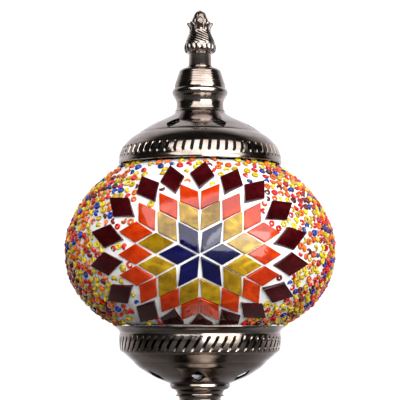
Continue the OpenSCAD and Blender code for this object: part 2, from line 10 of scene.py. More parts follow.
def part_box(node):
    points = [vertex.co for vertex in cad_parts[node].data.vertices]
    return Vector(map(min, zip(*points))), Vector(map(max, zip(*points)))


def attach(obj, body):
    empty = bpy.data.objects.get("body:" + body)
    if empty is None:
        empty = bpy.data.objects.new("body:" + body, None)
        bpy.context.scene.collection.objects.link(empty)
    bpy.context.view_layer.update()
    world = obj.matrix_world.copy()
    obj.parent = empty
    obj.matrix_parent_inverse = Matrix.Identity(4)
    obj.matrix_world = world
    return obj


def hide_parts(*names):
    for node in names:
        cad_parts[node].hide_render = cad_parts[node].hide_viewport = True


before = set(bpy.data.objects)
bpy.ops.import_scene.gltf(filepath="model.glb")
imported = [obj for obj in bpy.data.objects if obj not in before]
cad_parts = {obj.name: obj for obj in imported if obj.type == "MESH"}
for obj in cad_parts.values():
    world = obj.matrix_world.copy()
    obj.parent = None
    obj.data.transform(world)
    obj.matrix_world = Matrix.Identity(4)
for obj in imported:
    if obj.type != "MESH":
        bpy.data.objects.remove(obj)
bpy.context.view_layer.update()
mm = 0.001


# small helpers

def deselectAll():
    if bpy.context.object and bpy.context.object.mode != "OBJECT":
        bpy.ops.object.mode_set(mode="OBJECT")
    bpy.ops.object.select_all(action="DESELECT")


def pick(*objs):
    deselectAll()
    for obj in objs:
        obj.select_set(True)
    bpy.context.view_layer.objects.active = objs[-1]


def editAll(obj):
    pick(obj)
    bpy.ops.object.mode_set(mode="EDIT")
    bpy.ops.mesh.select_all(action="SELECT")


def rename(name):
    obj = bpy.context.object
    obj.name = name
    obj.data.name = name
    return obj


def settle(obj):
    pick(obj)
    bpy.ops.object.transform_apply(location=True, rotation=True, scale=True)  # its place goes into its mesh


def applyModifier(obj, kind, **settings):
    pick(obj)
    modifier = obj.modifiers.new(kind.title(), kind)
    for key, value in settings.items():
        setattr(modifier, key, value)
    bpy.ops.object.modifier_apply(modifier=modifier.name)


def smooth(obj, degrees=40):
    pick(obj)
    bpy.ops.object.shade_smooth_by_angle(angle=math.radians(degrees))


def outwards(obj):
    editAll(obj)
    bpy.ops.mesh.remove_doubles(threshold=0.000004)
    bpy.ops.mesh.normals_make_consistent(inside=False)
    bpy.ops.object.mode_set(mode="OBJECT")


def paint(obj, material):
    obj.data.materials.clear()
    obj.data.materials.append(material)


def finishPiece(obj, material, body, slot, *nodes):
    paint(obj, material)
    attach(obj, body)
    if nodes:
        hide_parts(*nodes)
    return obj


def chooseVerts(obj, test):
    mesh = bmesh.from_edit_mesh(obj.data)
    for vert in mesh.verts:
        vert.select = test(vert.co)
    mesh.select_flush_mode()
    bmesh.update_edit_mesh(obj.data)


def measure(node):
    low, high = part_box(node)
    return low.z / mm, high.z / mm, (high.x - low.x) / 2 / mm  # foot, top and radius, in mm


def curve(points, steps):
    # a smooth line through a few [radius, height] points
    out = []
    last = len(points) - 1
    for i in range(last):
        a, b, c, d = [Vector(points[min(max(i + k, 0), last)]) for k in (-1, 0, 1, 2)]
        for k in range(steps):
            t = k / steps
            p = 0.5 * (2 * b + (c - a) * t + (2 * a - 5 * b + 4 * c - d) * t * t
                       + (3 * b - a - 3 * c + d) * t ** 3)
            out.append((p.x, p.y))
    return out + [tuple(points[-1])]


def turned(name, outline, segments, foot=0.0, twist=None):
    # extrudes a circle ring by ring along the outline, which is in mm above foot
    deselectAll()
    lastR, lastZ = outline[0]
    bpy.ops.mesh.primitive_circle_add(vertices=segments, radius=lastR * mm, fill_type="NOTHING",
                                      location=(0, 0, (foot + lastZ) * mm))
    obj = rename(name)
    settle(obj)
    bpy.ops.object.mode_set(mode="EDIT")
    bpy.ops.mesh.select_all(action="SELECT")
    for r, z in outline[1:]:
        bpy.ops.mesh.extrude_region_move(TRANSFORM_OT_translate={"value": (0, 0, (z - lastZ) * mm)})
        here = (0, 0, (foot + z) * mm)
        if r == 0:
            bpy.ops.mesh.merge(type="CENTER")
            break
        if r != lastR:
            bpy.ops.transform.resize(value=(r / lastR, r / lastR, 1), center_override=here)
        if twist and twist(z) != twist(lastZ):
            turnBy = twist(z) - twist(lastZ)
            bpy.ops.transform.rotate(value=-turnBy, orient_axis="Z", center_override=here)
        lastR, lastZ = r, z
    bpy.ops.object.mode_set(mode="OBJECT")
    return obj


def copyOf(obj, place):
    other = obj.copy()
    other.data = obj.data.copy()
    other.data.transform(place)
    bpy.context.collection.objects.link(other)
    return other


def joined(objs, name):
    pick(*objs)
    bpy.ops.object.join()
    return rename(name)


# materials

def newMaterial(name):
    material = bpy.data.materials.new(name)
    material.use_nodes = True
    tree = material.node_tree
    shader = tree.nodes["Principled BSDF"]
    return material, tree, shader


def node(tree, kind, **settings):
    made = tree.nodes.new(kind)
    for key, value in settings.items():
        if key in made.inputs:
            made.inputs[key].default_value = value
        else:
            setattr(made, key, value)
    return made


def objectPlace(tree, scale=(1, 1, 1)):
    coords = node(tree, "ShaderNodeTexCoord")
    mapping = node(tree, "ShaderNodeMapping")
    mapping.inputs["Scale"].default_value = scale
    tree.links.new(coords.outputs["Object"], mapping.inputs["Vector"])
    return mapping.outputs["Vector"]


def noise(tree, place, scale, detail=3.0, roughness=0.5, distortion=0.0):
    made = node(tree, "ShaderNodeTexNoise", Scale=scale, Detail=detail, Roughness=roughness,
                Distortion=distortion)
    tree.links.new(place, made.inputs["Vector"])
    return made.outputs["Fac"]


def ramp(tree, value, *stops):
    made = node(tree, "ShaderNodeValToRGB")
    elements = made.color_ramp.elements
    while len(elements) < len(stops):
        elements.new(0.5)
    for element, (at, color) in zip(elements, stops):
        element.position = at
        element.color = (*color, 1)
    tree.links.new(value, made.inputs["Fac"])
    return made.outputs["Color"]


def spread(tree, value, low, high, fromLow=0.3, fromHigh=0.7):
    made = node(tree, "ShaderNodeMapRange")
    for key, number in (("From Min", fromLow), ("From Max", fromHigh), ("To Min", low), ("To Max", high)):
        made.inputs[key].default_value = number
    tree.links.new(value, made.inputs["Value"])
    return made.outputs["Result"]


def mix(tree, factor, first, second):
    made = node(tree, "ShaderNodeMix", data_type="RGBA")
    for socket, value in ((made.inputs[0], factor), (made.inputs[6], first), (made.inputs[7], second)):
        if isinstance(value, bpy.types.NodeSocket):
            tree.links.new(value, socket)
        elif isinstance(value, tuple):
            socket.default_value = (*value, 1)
        else:
            socket.default_value = value
    return made.outputs[2]


def bump(tree, shader, height, distance, strength=1.0):
    made = node(tree, "ShaderNodeBump", Distance=distance, Strength=strength)
    tree.links.new(height, made.inputs["Height"])
    tree.links.new(made.outputs["Normal"], shader.inputs["Normal"])


def attribute(tree, name):
    return node(tree, "ShaderNodeAttribute", attribute_name=name).outputs["Fac"]


bronze = {
    "dark": (0.16, 0.12, 0.095), "light": (0.46, 0.405, 0.365), "patina": (0.008, 0.007, 0.007),
    "edge": (0.92, 0.9, 0.96), "roughness": (0.10, 0.22), "spinLines": 900.0, "lineDepth": 0.00003,
}


def makeBronze():
    # antique bronze plating, spun and lacquered, with black left in the grooves
    material, tree, shader = newMaterial("antiqueBronze")
    shader.inputs["Metallic"].default_value = 1.0
    cloud = noise(tree, objectPlace(tree, (1, 1, 2.2)), 42.0, 5.0, 0.6)
    lines = noise(tree, objectPlace(tree, (0.02, 0.02, 1)), bronze["spinLines"], 3.0, 0.7)
    color = mix(tree, spread(tree, cloud, 0.0, 1.0), bronze["dark"], bronze["light"])
    color = mix(tree, spread(tree, lines, 0.0, 0.35), color, bronze["dark"])
    color = mix(tree, attribute(tree, "groove"), color, bronze["patina"])
    tree.links.new(color, shader.inputs["Base Color"])
    shader.inputs["Specular Tint"].default_value = (*bronze["edge"], 1)
    rough = spread(tree, noise(tree, objectPlace(tree, (1, 1, 3)), 75.0, 4.0), *bronze["roughness"])
    tree.links.new(rough, shader.inputs["Roughness"])
    bump(tree, shader, lines, bronze["lineDepth"], 0.35)
    return material


def makePlainMetal(name, color, roughness, grain=400.0):
    material, tree, shader = newMaterial(name)
    shader.inputs["Metallic"].default_value = 1.0
    speckle = noise(tree, objectPlace(tree), grain, 3.0)
    shade = tuple(c * 0.72 for c in color)
    tree.links.new(mix(tree, spread(tree, speckle, 0.0, 1.0), shade, color), shader.inputs["Base Color"])
    tree.links.new(spread(tree, speckle, roughness * 0.8, roughness * 1.3), shader.inputs["Roughness"])
    bump(tree, shader, speckle, 0.00002, 0.3)
    return material


def makePlainSolid(name, color, roughness, grain=600.0, depth=0.00004):
    material, tree, shader = newMaterial(name)
    speckle = noise(tree, objectPlace(tree), grain, 4.0, 0.6)
    shade = tuple(c * 0.7 for c in color)
    tree.links.new(mix(tree, spread(tree, speckle, 0.0, 1.0), shade, color), shader.inputs["Base Color"])
    rough = spread(tree, speckle, roughness * 0.85, min(1.0, roughness * 1.15))
    tree.links.new(rough, shader.inputs["Roughness"])
    bump(tree, shader, speckle, depth, 0.5)
    return material


def makeTileGlass(name, deep, middle, pale, streak=55.0):
    # streaky cathedral glass; the tone attribute shifts each tile a little
    material, tree, shader = newMaterial(name)
    swirl = noise(tree, objectPlace(tree, (1, 1, 1.6)), streak, 4.0, 0.55, 1.4)
    fine = noise(tree, objectPlace(tree, (1, 1, 0.5)), streak * 5, 3.0, 0.6)
    color = ramp(tree, swirl, (0.34, deep), (0.52, middle), (0.70, pale))
    tone = attribute(tree, "tone")
    color = mix(tree, spread(tree, tone, 0.0, 0.55, 0.0, 1.0), color, deep)
    color = mix(tree, spread(tree, fine, 0.0, 0.22), color, pale)
    tree.links.new(color, shader.inputs["Base Color"])
    tree.links.new(spread(tree, fine, 0.03, 0.11), shader.inputs["Roughness"])
    shader.inputs["IOR"].default_value = 1.48
    bump(tree, shader, swirl, 0.0006, 0.16)
    return material


def makeBeadGlass(name, deep, bright):
    # bead glass: the tone attribute of each bead picks its shade, a random one times painted shade low down
    # by the grout and a painted highlight on top
    material, tree, shader = newMaterial(name)
    cloud = noise(tree, objectPlace(tree), 420.0, 2.0)
    color = mix(tree, spread(tree, attribute(tree, "tone"), 0.0, 1.0, 0.0, 1.0), deep, bright)
    color = mix(tree, spread(tree, cloud, 0.0, 0.2), color, bright)
    tree.links.new(color, shader.inputs["Base Color"])
    shader.inputs["Roughness"].default_value = 0.07
    shader.inputs["IOR"].default_value = 1.4
    shader.inputs["Transmission Weight"].default_value = 0.12
    return material


def makeGrout():
    material, tree, shader = newMaterial("whiteGrout")
    grain = noise(tree, objectPlace(tree), 1500.0, 4.0, 0.65)
    stain = noise(tree, objectPlace(tree), 60.0, 4.0, 0.6)
    color = mix(tree, spread(tree, stain, 0.0, 1.0), (0.90, 0.895, 0.88), (0.78, 0.775, 0.765))
    color = mix(tree, spread(tree, grain, 0.0, 0.25), color, (0.62, 0.61, 0.6))
    tree.links.new(color, shader.inputs["Base Color"])
    tree.links.new(spread(tree, grain, 0.62, 0.85), shader.inputs["Roughness"])
    bump(tree, shader, grain, 0.00012, 0.5)
    return material


def makeClearGlass(name, tint):
    material, tree, shader = newMaterial(name)
    ripple = noise(tree, objectPlace(tree), 30.0, 2.0)
    tree.links.new(mix(tree, ripple, tint, tuple(c * 0.93 for c in tint)), shader.inputs["Base Color"])
    shader.inputs["Roughness"].default_value = 0.03
    shader.inputs["Transmission Weight"].default_value = 1.0
    shader.inputs["IOR"].default_value = 1.5
    return material


print("stage: materials")
bronzeMetal = makeBronze()
groutWhite = makeGrout()


# metal shells

def cutFlutes(obj, count, bandFoot, bandTop, twist, depth, outside, perFlute=10):
    # pushes narrow slanted grooves into the band, and marks them for the patina
    editAll(obj)
    marks = {}

    def column(co):
        angle = (math.atan2(co.y, co.x) - twist(co.z / mm)) % math.tau
        return round(angle / math.tau * count * perFlute) % perFlute

    def height(co):
        return (co.z / mm - bandFoot) / (bandTop - bandFoot)

    def isGroove(co, width, margin):
        return outside(co) and margin < height(co) < 1 - margin and column(co) < width

    for width, margin, share in ((3, 0.02, 0.5), (3, 0.14, 0.5)):
        chooseVerts(obj, lambda co: isGroove(co, width, margin))
        mesh = bmesh.from_edit_mesh(obj.data)
        for vert in mesh.verts:
            if vert.select:
                marks[vert.index] = min(1.0, marks.get(vert.index, 0) + share)
        bpy.ops.transform.shrink_fatten(value=-depth * share * mm, use_even_offset=False)
    bpy.ops.object.mode_set(mode="OBJECT")
    return marks


def markGrooves(obj, marks):
    layer = obj.data.attributes.new("groove", "FLOAT", "POINT")
    for index, amount in marks.items():
        layer.data[index].value = amount


starHole = {"length": 14.0, "width": 9.0, "hollow": 0.54, "reach": 6.0}


def starCutter(count, middle, slope, firstAngle, foot):
    # four-pointed prisms with hollow sides, standing square to the wall all the way round
    deselectAll()
    bpy.ops.mesh.primitive_circle_add(vertices=8, radius=1, fill_type="NGON", location=(0, 0, 0))
    cutter = rename("starCutter")
    editAll(cutter)
    bpy.ops.transform.resize(value=(starHole["length"] / 2 * mm, starHole["width"] / 2 * mm, 1))
    chooseVerts(cutter, lambda co: abs(co.x) > 0.0005 and abs(co.y) > 0.0005)
    inwards = starHole["hollow"] / math.sqrt(0.5)
    bpy.ops.transform.resize(value=(inwards, inwards, 1), center_override=(0, 0, 0))
    bpy.ops.mesh.select_all(action="SELECT")
    bpy.ops.transform.translate(value=(0, 0, -starHole["reach"] * mm))
    bpy.ops.mesh.extrude_region_move(TRANSFORM_OT_translate={"value": (0, 0, 2 * starHole["reach"] * mm)})
    bpy.ops.object.mode_set(mode="OBJECT")
    outwards(cutter)
    copies = []
    for k in range(count):
        place = (Matrix.Rotation(math.radians(firstAngle + k * 360 / count), 4, "Z")
                 @ Matrix.Translation((middle[0] * mm, 0, (foot + middle[1]) * mm))
                 @ Matrix.Rotation(-math.radians(slope), 4, "Y"))
        copies.append(copyOf(cutter, place))
    bpy.data.objects.remove(cutter)
    return joined(copies, "starCutters")


def pierce(obj, cutter):
    applyModifier(obj, "BOOLEAN", operation="DIFFERENCE", object=cutter, solver="EXACT")
    bpy.data.objects.remove(cutter)


def slopeOf(start, end):
    return math.degrees(math.atan2(end[1] - start[1], end[0] - start[0]))


# the cap, from its rim up to the neck piece
capFoot, capTop, capRadius = measure("cap_shell")
cap = {"flutes": 60, "perFlute": 10, "band": (3.9, 10.4), "slant": 0.1, "depth": 0.9,
       "stars": 7, "starTurn": -120.0, "wall": 0.9}


def bandTwist(piece, foot):
    # how far a ring is turned, so that its columns lean
    low, high = piece["band"]
    pitch = math.tau / piece["flutes"]

    def twist(z):
        return pitch * piece["slant"] * 2.0 * (min(max((z - low) / (high - low), 0), 1) - 0.5)
    return twist


def buildCap():
    r, h = capRadius, capTop - capFoot
    low, high = cap["band"]
    band = [(r - 0.15 - 2.6 * ((z - 2) / 9) ** 2.0, z) for z in np.linspace(low, high, 9)]
    outline = ([(r - 0.5, 0.0), (r - 0.1, 0.35), (r, 0.9), (r, 1.5)]
               + [(r - 0.1, 2.2), (r - 0.25, 2.6), (r - 0.3, 3.3)]
               + [tuple(p) for p in band]
               + curve([(r - 3.0, 11.2), (r - 5.4, 14.0), (r - 8.4, 16.6), (r - 11.6, 18.7)], 4)
               + [(r - 11.9, 18.75), (r - 12.3, 19.2)]
               + curve([(r - 12.9, 19.7), (r - 19.6, 24.0), (r - 28, h - 4.6), (r - 32.6, h - 2.2),
                        (15.6, h - 0.9), (15.0, h)], 4)
               + [(9.0, h), (3.4, h)])
    twist = bandTwist(cap, capFoot)
    obj = turned("capShellSpun", outline, cap["flutes"] * cap["perFlute"], capFoot, twist)
    outwards(obj)
    marks = cutFlutes(obj, cap["flutes"], capFoot + low, capFoot + high, lambda z: twist(z - capFoot),
                      cap["depth"], lambda co: True)
    markGrooves(obj, marks)
    applyModifier(obj, "SOLIDIFY", thickness=cap["wall"] * mm, offset=-1)
    start, end = (r - 12.9, 19.4), (r - 23.2, 25.6)
    middle = ((start[0] + end[0]) / 2, (start[1] + end[1]) / 2)
    pierce(obj, starCutter(cap["stars"], middle, slopeOf(start, end), cap["starTurn"], capFoot))
    smooth(obj, 38)
    return finishPiece(obj, bronzeMetal, "cap", "bronzed_metal", "cap_shell")


print("stage: cap")
buildCap()


# the turned piece between cap and finial
neckFoot, neckTop, neckRadius = measure("cap_neck")


def buildNeck():
    r, h = neckRadius, neckTop - neckFoot
    grooves = []
    for k in range(5):  # fine turned lines below the shoulder
        z = 16.6 + 1.55 * k
        here = r - 1.55 - 0.33 * (z - 16.6)
        grooves += [(here, z), (here - 0.05, z + 0.6), (here - 0.42, z + 0.85), (here - 0.42, z + 1.15)]
    outline = ([(15.1, 0), (15.2, 0.5), (14.9, 0.9)]
               + curve([(14.6, 1.4), (14.35, 2.6), (14.25, 4.6), (14.5, 6.6), (15.5, 8.7), (16.4, 10.1),
                        (r - 0.02, 11.5), (r - 0.2, 12.9), (r - 1.0, 14.0)], 4)
               + [(r - 1.35, 14.3), (r - 1.3, 14.9)]
               + curve([(r - 1.3, 15.1), (r - 1.4, 15.6), (r - 1.5, 16.2)], 2)
               + grooves
               + curve([(r - 4.1, 24.6), (r - 4.6, 25.4), (r - 5.8, 26.3), (r - 7.8, 27.0),
                        (r - 8.9, 27.5)], 4)
               + [(r - 9.3, 27.6), (r - 9.3, h), (3.4, h)])
    obj = turned("capNeckTurned", outline, 120, neckFoot)
    outwards(obj)
    applyModifier(obj, "SOLIDIFY", thickness=0.8 * mm, offset=-1)
    smooth(obj, 32)
    return finishPiece(obj, bronzeMetal, "cap", "bronzed_metal", "cap_neck")


# the cast finial: collar, ball with swirling ribs, crown of leaves, bud
finialFoot, finialTop, finialRadius = measure("finial")
finial = {"ribs": 12, "perRib": 6, "swirl": 4.6, "swirlBand": (14.0, 21.5), "boreRadius": 3.1,
          "lobes": 15, "crownLeaves": 8, "lowerBudLeaves": 6, "upperBudLeaves": 5}


def leafBlank(width, tipWidth, curl):
    # a fat leaf with a rib down its middle, standing on the origin with its tip curled out to +X
    deselectAll()
    bpy.ops.mesh.primitive_uv_sphere_add(segments=14, ring_count=10, radius=1 * mm)
    leaf = rename("leafBlank")
    editAll(leaf)
    bpy.ops.transform.resize(value=(0.95, width, 3.3))
    for height, share in ((0.2, 0.15), (1.0, 0.25), (1.9, 0.35), (2.6, 0.25)):
        chooseVerts(leaf, lambda co: co.z > height * mm)
        bpy.ops.transform.resize(value=(tipWidth * 1.12, tipWidth, 1.0))
        bpy.ops.transform.translate(value=(curl * share * mm, 0, 0))
    chooseVerts(leaf, lambda co: abs(co.y) < 0.1 * mm and co.x > 0)
    bpy.ops.transform.translate(value=(0.3 * mm, 0, 0))
    bpy.ops.mesh.select_all(action="SELECT")
    bpy.ops.transform.translate(value=(0, 0, 3.3 * mm))
    bpy.ops.object.mode_set(mode="OBJECT")
    smooth(leaf, 60)
    return leaf


def ringOf(blank, count, radius, height, lean, size, offset=0.0):
    copies = []
    for k in range(count):
        place = (Matrix.Rotation(math.tau * (k + offset) / count, 4, "Z")
                 @ Matrix.Translation((radius * mm, 0, (finialFoot + height) * mm))
                 @ Matrix.Rotation(math.radians(lean), 4, "Y") @ Matrix.Scale(size, 4))
        copies.append(copyOf(blank, place))
    return copies


def buildFinial():
    r, h, foot = finialRadius, finialTop - finialFoot, finialFoot
    ball = [(r - 2.9, 8.2), (r - 2.1, 8.8), (r - 1.4, 9.8), (r - 1.0, 11.0), (r - 0.8, 12.2),
            (r - 0.7, 13.2), (r - 0.75, 14.2), (r - 1.1, 15.6), (r - 1.6, 17.0), (r - 2.3, 18.4),
            (r - 2.9, 19.8), (r - 3.3, 21.2)]
    outline = ([(finial["boreRadius"], 0), (r - 3.3, 0), (r - 3.0, 0.35), (r - 3.05, 7.4)]
               + [(r - 2.7, 7.7), (r - 2.9, 8.0)]
               + curve(ball, 2)
               + curve([(r - 3.5, 22.2), (r - 4.2, 23.6), (r - 4.6, 25.6), (r - 5.0, 28.0), (r - 5.8, 30.6),
                        (r - 7.2, 33.2), (1.0, h - 0.5)], 3)
               + [(0.4, h - 0.12), (0, h)])
    ribs, columns = finial["ribs"], finial["ribs"] * finial["perRib"]
    swirlFoot, swirlTop = finial["swirlBand"]

    def twist(z):
        return -math.tau / ribs * finial["swirl"] * min(max((z - swirlFoot) / (swirlTop - swirlFoot), 0), 1)

    obj = turned("finialCast", outline, columns, foot, twist)
    outwards(obj)
    marks = {}

    def column(co):
        angle = (math.atan2(co.y, co.x) - twist(co.z / mm - foot)) % math.tau
        return round(angle / math.tau * columns) % finial["perRib"]

    editAll(obj)
    for span, low, high, depth in ((0, 14.0, 21.6, 0.55), (1, 14.4, 21.0, 0.2), (5, 14.4, 21.0, 0.2)):
        chooseVerts(obj, lambda co: column(co) == span and low < co.z / mm - foot < high
                    and math.hypot(co.x, co.y) > 2.0 * mm)
        mesh = bmesh.from_edit_mesh(obj.data)
        for vert in mesh.verts:
            if vert.select:
                marks[vert.index] = max(marks.get(vert.index, 0), min(1.0, depth * 1.6))
        bpy.ops.transform.shrink_fatten(value=-depth * mm)
    bpy.ops.object.mode_set(mode="OBJECT")
    markGrooves(obj, marks)
    smooth(obj, 50)

    crown, bud = leafBlank(2.0, 1.04, 1.45), leafBlank(2.3, 0.98, -0.5)
    deselectAll()
    bpy.ops.mesh.primitive_uv_sphere_add(segments=12, ring_count=8, radius=1 * mm)
    lobe = rename("lobeBlank")
    editAll(lobe)
    bpy.ops.transform.resize(value=(1.4, 2.05, 2.9))
    bpy.ops.object.mode_set(mode="OBJECT")
    smooth(lobe, 180)
    parts = (ringOf(lobe, finial["lobes"], r - 1.4, 11.4, 0, 1.0)
             + ringOf(crown, finial["crownLeaves"], r - 4.25, 20.6, 0, 1.0)
             + ringOf(bud, finial["lowerBudLeaves"], r - 5.15, 24.4, -7, 1.0, 0.5)
             + ringOf(bud, finial["upperBudLeaves"], r - 6.0, 28.2, -17, 0.95))
    for blank in (crown, bud, lobe):
        bpy.data.objects.remove(blank)
    for piece in parts:
        layer = piece.data.attributes.new("groove", "FLOAT", "POINT")
        layer.data.foreach_set("value", [0.1] * len(piece.data.vertices))
    obj = joined(parts + [obj], "finialCast")
    return finishPiece(obj, bronzeMetal, "finial", "bronzed_metal", "finial")


# the cup, from its collar up to its lip
cupFoot, cupTop, cupRadius = measure("cup_shell")
cup = {"flutes": 58, "perFlute": 10, "band": (19.6, 28.6), "slant": 0.5, "depth": 0.8,
       "stars": 6, "starTurn": -92.0, "wall": 0.9}


def buildCup():
    r, h = cupRadius, cupTop - cupFoot
    low, high = cup["band"]
    band = [(r - 3.05 - 0.9 * ((z - 26.5) / 8) ** 2, z) for z in np.linspace(low, high, 9)]
    outline = ([(5.6, 0), (18.7, 0)]
               + curve([(18.75, 0.1), (r - 27.8, 2.2), (r - 22.7, 4.6), (r - 15.2, 9.4), (r - 12.4, 12.0)], 4)
               + [(r - 12.0, 12.35), (r - 11.7, 12.9)]
               + curve([(r - 11.3, 13.2), (r - 8.4, 15.7), (r - 5.9, 17.9)], 4)
               + [(r - 5.3, 18.3), (r - 4.75, 18.6)]
               + band
               + [(r - 3.15, 29.2), (r - 3.25, 29.9)]
               + curve([(r - 3.2, 30.5), (r - 2.5, 32.0), (r - 1.2, 33.2), (r - 0.35, 33.75)], 3)
               + [(r - 0.08, 34.0), (r, 34.3), (r - 0.1, h)])
    twist = bandTwist(cup, cupFoot)
    obj = turned("cupShellSpun", outline, cup["flutes"] * cup["perFlute"], cupFoot, twist)
    outwards(obj)
    marks = cutFlutes(obj, cup["flutes"], cupFoot + low, cupFoot + high, lambda z: twist(z - cupFoot),
                      cup["depth"], lambda co: True)
    markGrooves(obj, marks)
    applyModifier(obj, "SOLIDIFY", thickness=cup["wall"] * mm, offset=-1)
    start, end = (r - 28.7, 1.9), (r - 16.9, 8.2)
    middle = ((start[0] + end[0]) / 2, (start[1] + end[1]) / 2)
    pierce(obj, starCutter(cup["stars"], middle, slopeOf(start, end), cup["starTurn"], cupFoot))
    smooth(obj, 38)
    return finishPiece(obj, bronzeMetal, "stand", "bronzed_metal", "cup_shell")


def closeBore(obj):
    # joins the two open ends of a turned piece through its bore
    pick(obj)
    bpy.ops.object.mode_set(mode="EDIT")
    bpy.ops.mesh.select_mode(type="EDGE")
    bpy.ops.mesh.select_all(action="DESELECT")
    bpy.ops.mesh.select_non_manifold()
    bpy.ops.mesh.bridge_edge_loops()
    bpy.ops.mesh.select_mode(type="VERT")
    bpy.ops.object.mode_set(mode="OBJECT")


stemBore = 5.3


def buildTurnedSolid(name, node, outline, segments=96, flutes=0, band=None, depth=0.5):
    foot = measure(node)[0]
    obj = turned(name, [(stemBore, outline[0][1])] + outline + [(stemBore, outline[-1][1])], segments, foot)
    closeBore(obj)
    outwards(obj)
    if flutes:
        isOutside = lambda co: math.hypot(co.x, co.y) > (stemBore + 1) * mm
        markGrooves(obj, cutFlutes(obj, flutes, foot + band[0], foot + band[1], lambda z: 0.0, depth,
                                   isOutside, segments // flutes))
    smooth(obj, 34)
    return finishPiece(obj, bronzeMetal, "stand", "bronzed_metal", node)


def buildStem():
    foot, top, r = measure("cup_collar")
    h = top - foot
    buildTurnedSolid("cupCollarTurned", "cup_collar",
                     [(13.2, 0), (13.6, 0.3), (13.7, 0.8)]
                     + curve([(13.5, 1.2), (12.6, 3.0), (12.9, 4.8)], 3)
                     + [(13.4, 5.1), (14.6, 5.3), (14.9, 5.7), (14.6, 6.1), (13.9, 6.3)]
                     + curve([(13.8, 6.7), (14.6, 8.3), (16.3, 9.4)], 3)
                     + [(17.1, 9.6), (17.4, 9.9)]
                     + curve([(17.6, 10.2), (r - 0.2, 11.2), (r - 0.3, 12.4)], 3)
                     + [(r - 0.4, h)])
    for name, node in (("lowerRingTurned", "stem_lower_ring"), ("upperRingTurned", "stem_upper_ring")):
        foot, top, r = measure(node)
        h = top - foot
        bead = [(r - 2.4 + 2.4 * math.cos(a), h / 2 + 2.1 * math.sin(a))
                for a in np.linspace(-1.35, 1.35, 11)]
        buildTurnedSolid(name, node, [(r - 3.3, 0), (r - 3.1, 0.5), (r - 2.3, 0.7)] + bead
                         + [(r - 2.3, h - 0.7), (r - 3.1, h - 0.5), (r - 3.3, h)],
                         segments=144, flutes=36, band=(1.4, h - 1.4), depth=0.45)
    foot, top, r = measure("stem_baluster")
    h = top - foot
    buildTurnedSolid("balusterTurned", "stem_baluster",
                     [(11.8, 0), (12.2, 0.4), (12.3, 1.3), (11.6, 1.9)]
                     + curve([(10.7, 2.3), (10.2, 5.5), (12.2, 9.6), (16.6, 15.4)], 5)
                     + [(17.2, 16.0), (17.9, 16.2), (18.2, 16.7)]
                     + curve([(18.6, 17.4), (r - 0.5, 22.0), (r, 26.2), (r - 0.9, 30.6), (r - 2.9, 35.2)], 4)
                     + [(r - 3.7, 36.0), (r - 4.3, 36.2), (r - 4.6, 36.8)]
                     + curve([(r - 5.2, 37.6), (13.2, 44.0), (10.4, 49.0), (9.7, 52.0), (10.2, 53.4)], 5)
                     + [(11.4, 54.0), (12.2, 54.5), (12.2, h - 0.5), (11.8, h)])


# the domed foot
baseFoot, baseTop, baseRadius = measure("base_shell")
base = {"flutes": 72, "perFlute": 8, "band": (14.2, 22.6), "slant": 0.45, "depth": 0.9,
        "stars": 8, "starTurn": 22.5, "wall": 0.95, "bushHole": 4.35}


def buildBase():
    r, h = baseRadius, baseTop - baseFoot
    low, high = base["band"]
    band = [(r - 0.2 - 4.2 * max(0.0, (z - 13.5) / 9.5) ** 2.0, z) for z in np.linspace(low, high, 10)]
    outline = ([(r - 0.4, 0), (r, 0.5), (r, 1.6), (r - 0.5, 2.2), (r - 0.9, 3.0)]
               + curve([(r - 1.0, 3.6), (r - 1.0, 7.5), (r - 0.7, 11.2)], 3)
               + [(r - 0.3, 11.8), (r, 12.3), (r, 13.0), (r - 0.3, 13.5)]
               + band
               + curve([(r - 4.7, 23.5), (r - 9.5, 27.0), (r - 15.3, 29.9)], 4)
               + [(r - 15.7, 30.0), (r - 16.3, 30.5)]
               + curve([(r - 16.9, 30.7), (r - 26, 34.5), (r - 36.5, 40), (17.5, h - 8.5),
                        (14.3, h - 3.4)], 5)
               + [(14.3, h - 2.6), (15.0, h - 2.2), (15.2, h - 1.4), (14.9, h - 0.5), (14.4, h), (5.6, h)])
    twist = bandTwist(base, baseFoot)
    obj = turned("baseShellSpun", outline, base["flutes"] * base["perFlute"], baseFoot, twist)
    outwards(obj)
    marks = cutFlutes(obj, base["flutes"], baseFoot + low, baseFoot + high, lambda z: twist(z - baseFoot),
                      base["depth"], lambda co: True, base["perFlute"])
    markGrooves(obj, marks)
    applyModifier(obj, "SOLIDIFY", thickness=base["wall"] * mm, offset=-1)
    start, end = (r - 19, 31.5), (r - 31, 37.5)
    middle = ((start[0] + end[0]) / 2, (start[1] + end[1]) / 2)
    pierce(obj, starCutter(base["stars"], middle, slopeOf(start, end), base["starTurn"], baseFoot))
    bushLow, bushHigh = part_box("cord_bush")
    deselectAll()
    bpy.ops.mesh.primitive_cylinder_add(vertices=48, radius=base["bushHole"] * mm, depth=12 * mm,
                                        rotation=(math.pi / 2, 0, 0),
                                        location=(0, r * mm, (bushLow.z + bushHigh.z) / 2))
    pierce(obj, rename("bushHole"))
    smooth(obj, 38)
    return finishPiece(obj, bronzeMetal, "stand", "bronzed_metal", "base_shell")


print("stage: metal")
buildNeck()
buildFinial()
buildCup()
buildStem()
buildBase()


# what the CAD already has right gets its finish

